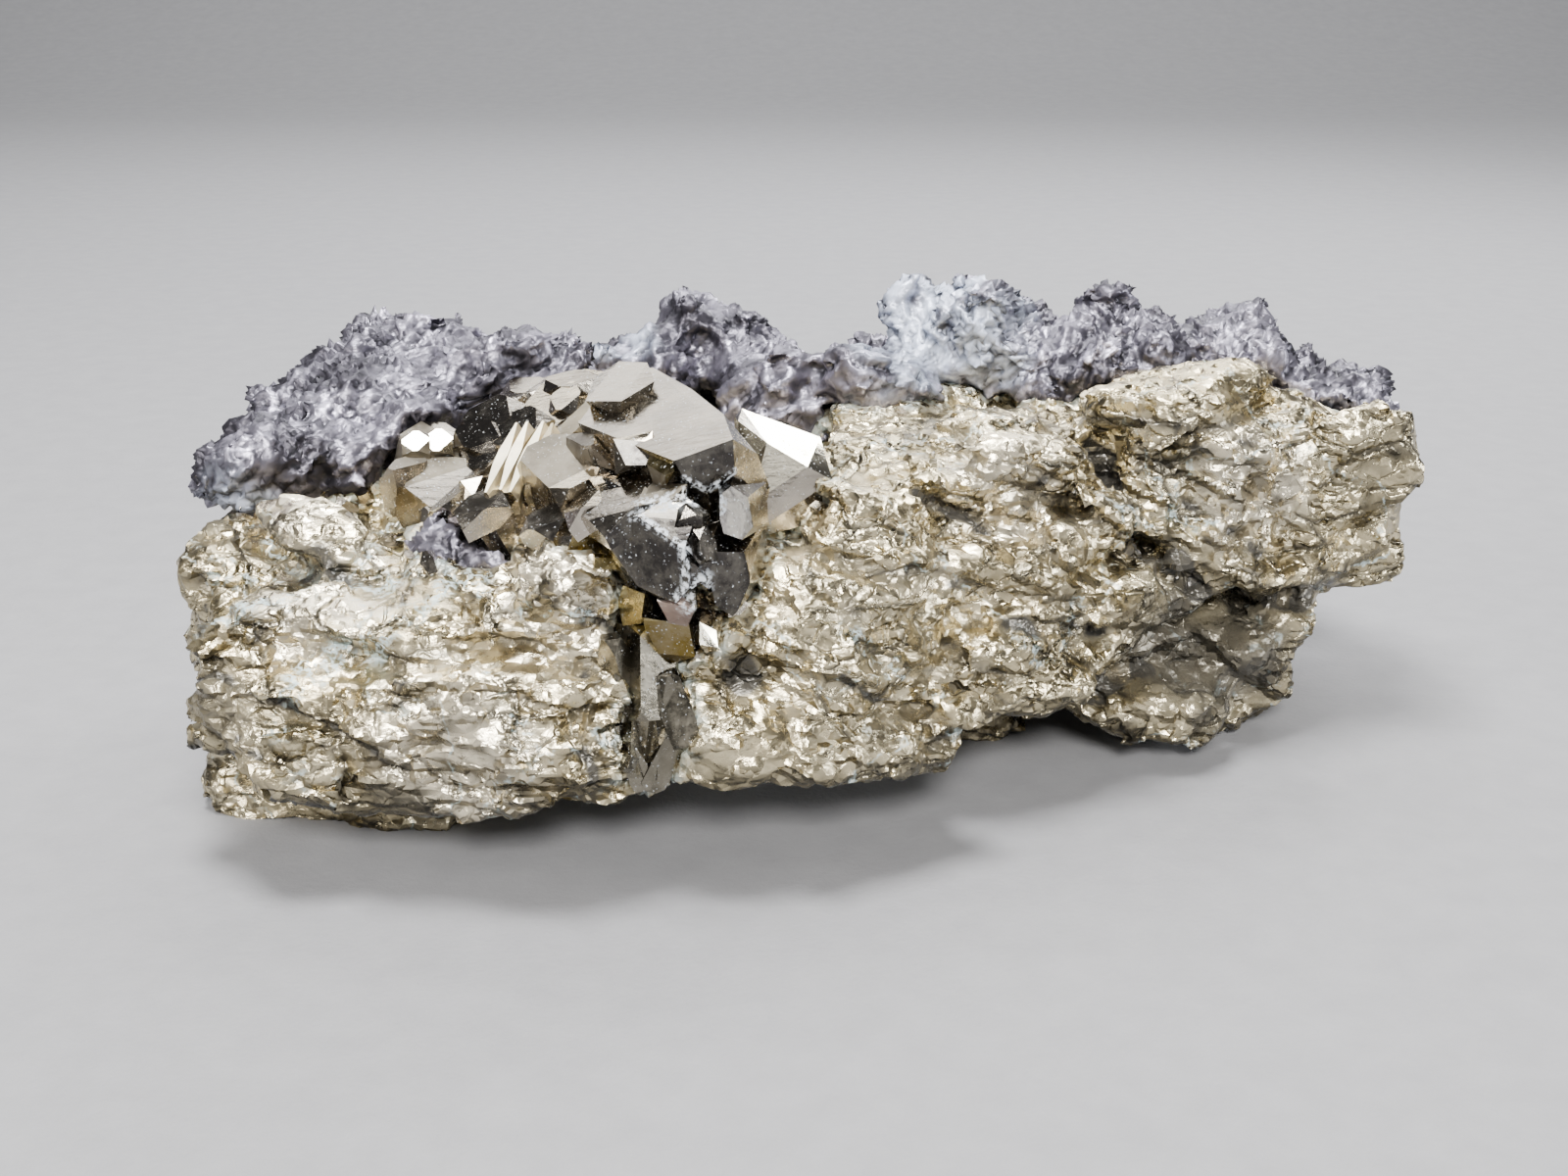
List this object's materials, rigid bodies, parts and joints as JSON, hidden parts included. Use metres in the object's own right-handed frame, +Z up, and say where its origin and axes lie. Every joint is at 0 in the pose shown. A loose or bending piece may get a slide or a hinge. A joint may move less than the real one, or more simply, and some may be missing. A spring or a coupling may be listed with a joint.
{
  "type": "franckeite on pyrite specimen",
  "caption": "Hand specimen of broken, brassy pyrite with a cluster of sharp crystals on top and dark crumpled franckeite crusts, resting on a flat break.",
  "frame": {"origin": "middle of the specimen's box, on the surface that it rests on", "axes": "+X along the specimen to its narrow right end, +Y away from its front, +Z up"},
  "size_m": [0.0818, 0.0514, 0.0298],
  "materials": {
    "pyrite_mass": "hackly, granular",
    "pyrite_crystals": "mirror faces",
    "franckeite": "dark metallic, foliated"
  },
  "bodies": {
    "root": {"pyrite_mass": "pyrite_mass", "pyrite_crystals": "pyrite_crystals", "franckeite_crust_left": "franckeite", "franckeite_crust_back": "franckeite", "franckeite_patch": "franckeite"}
  },
  "joints": []
}
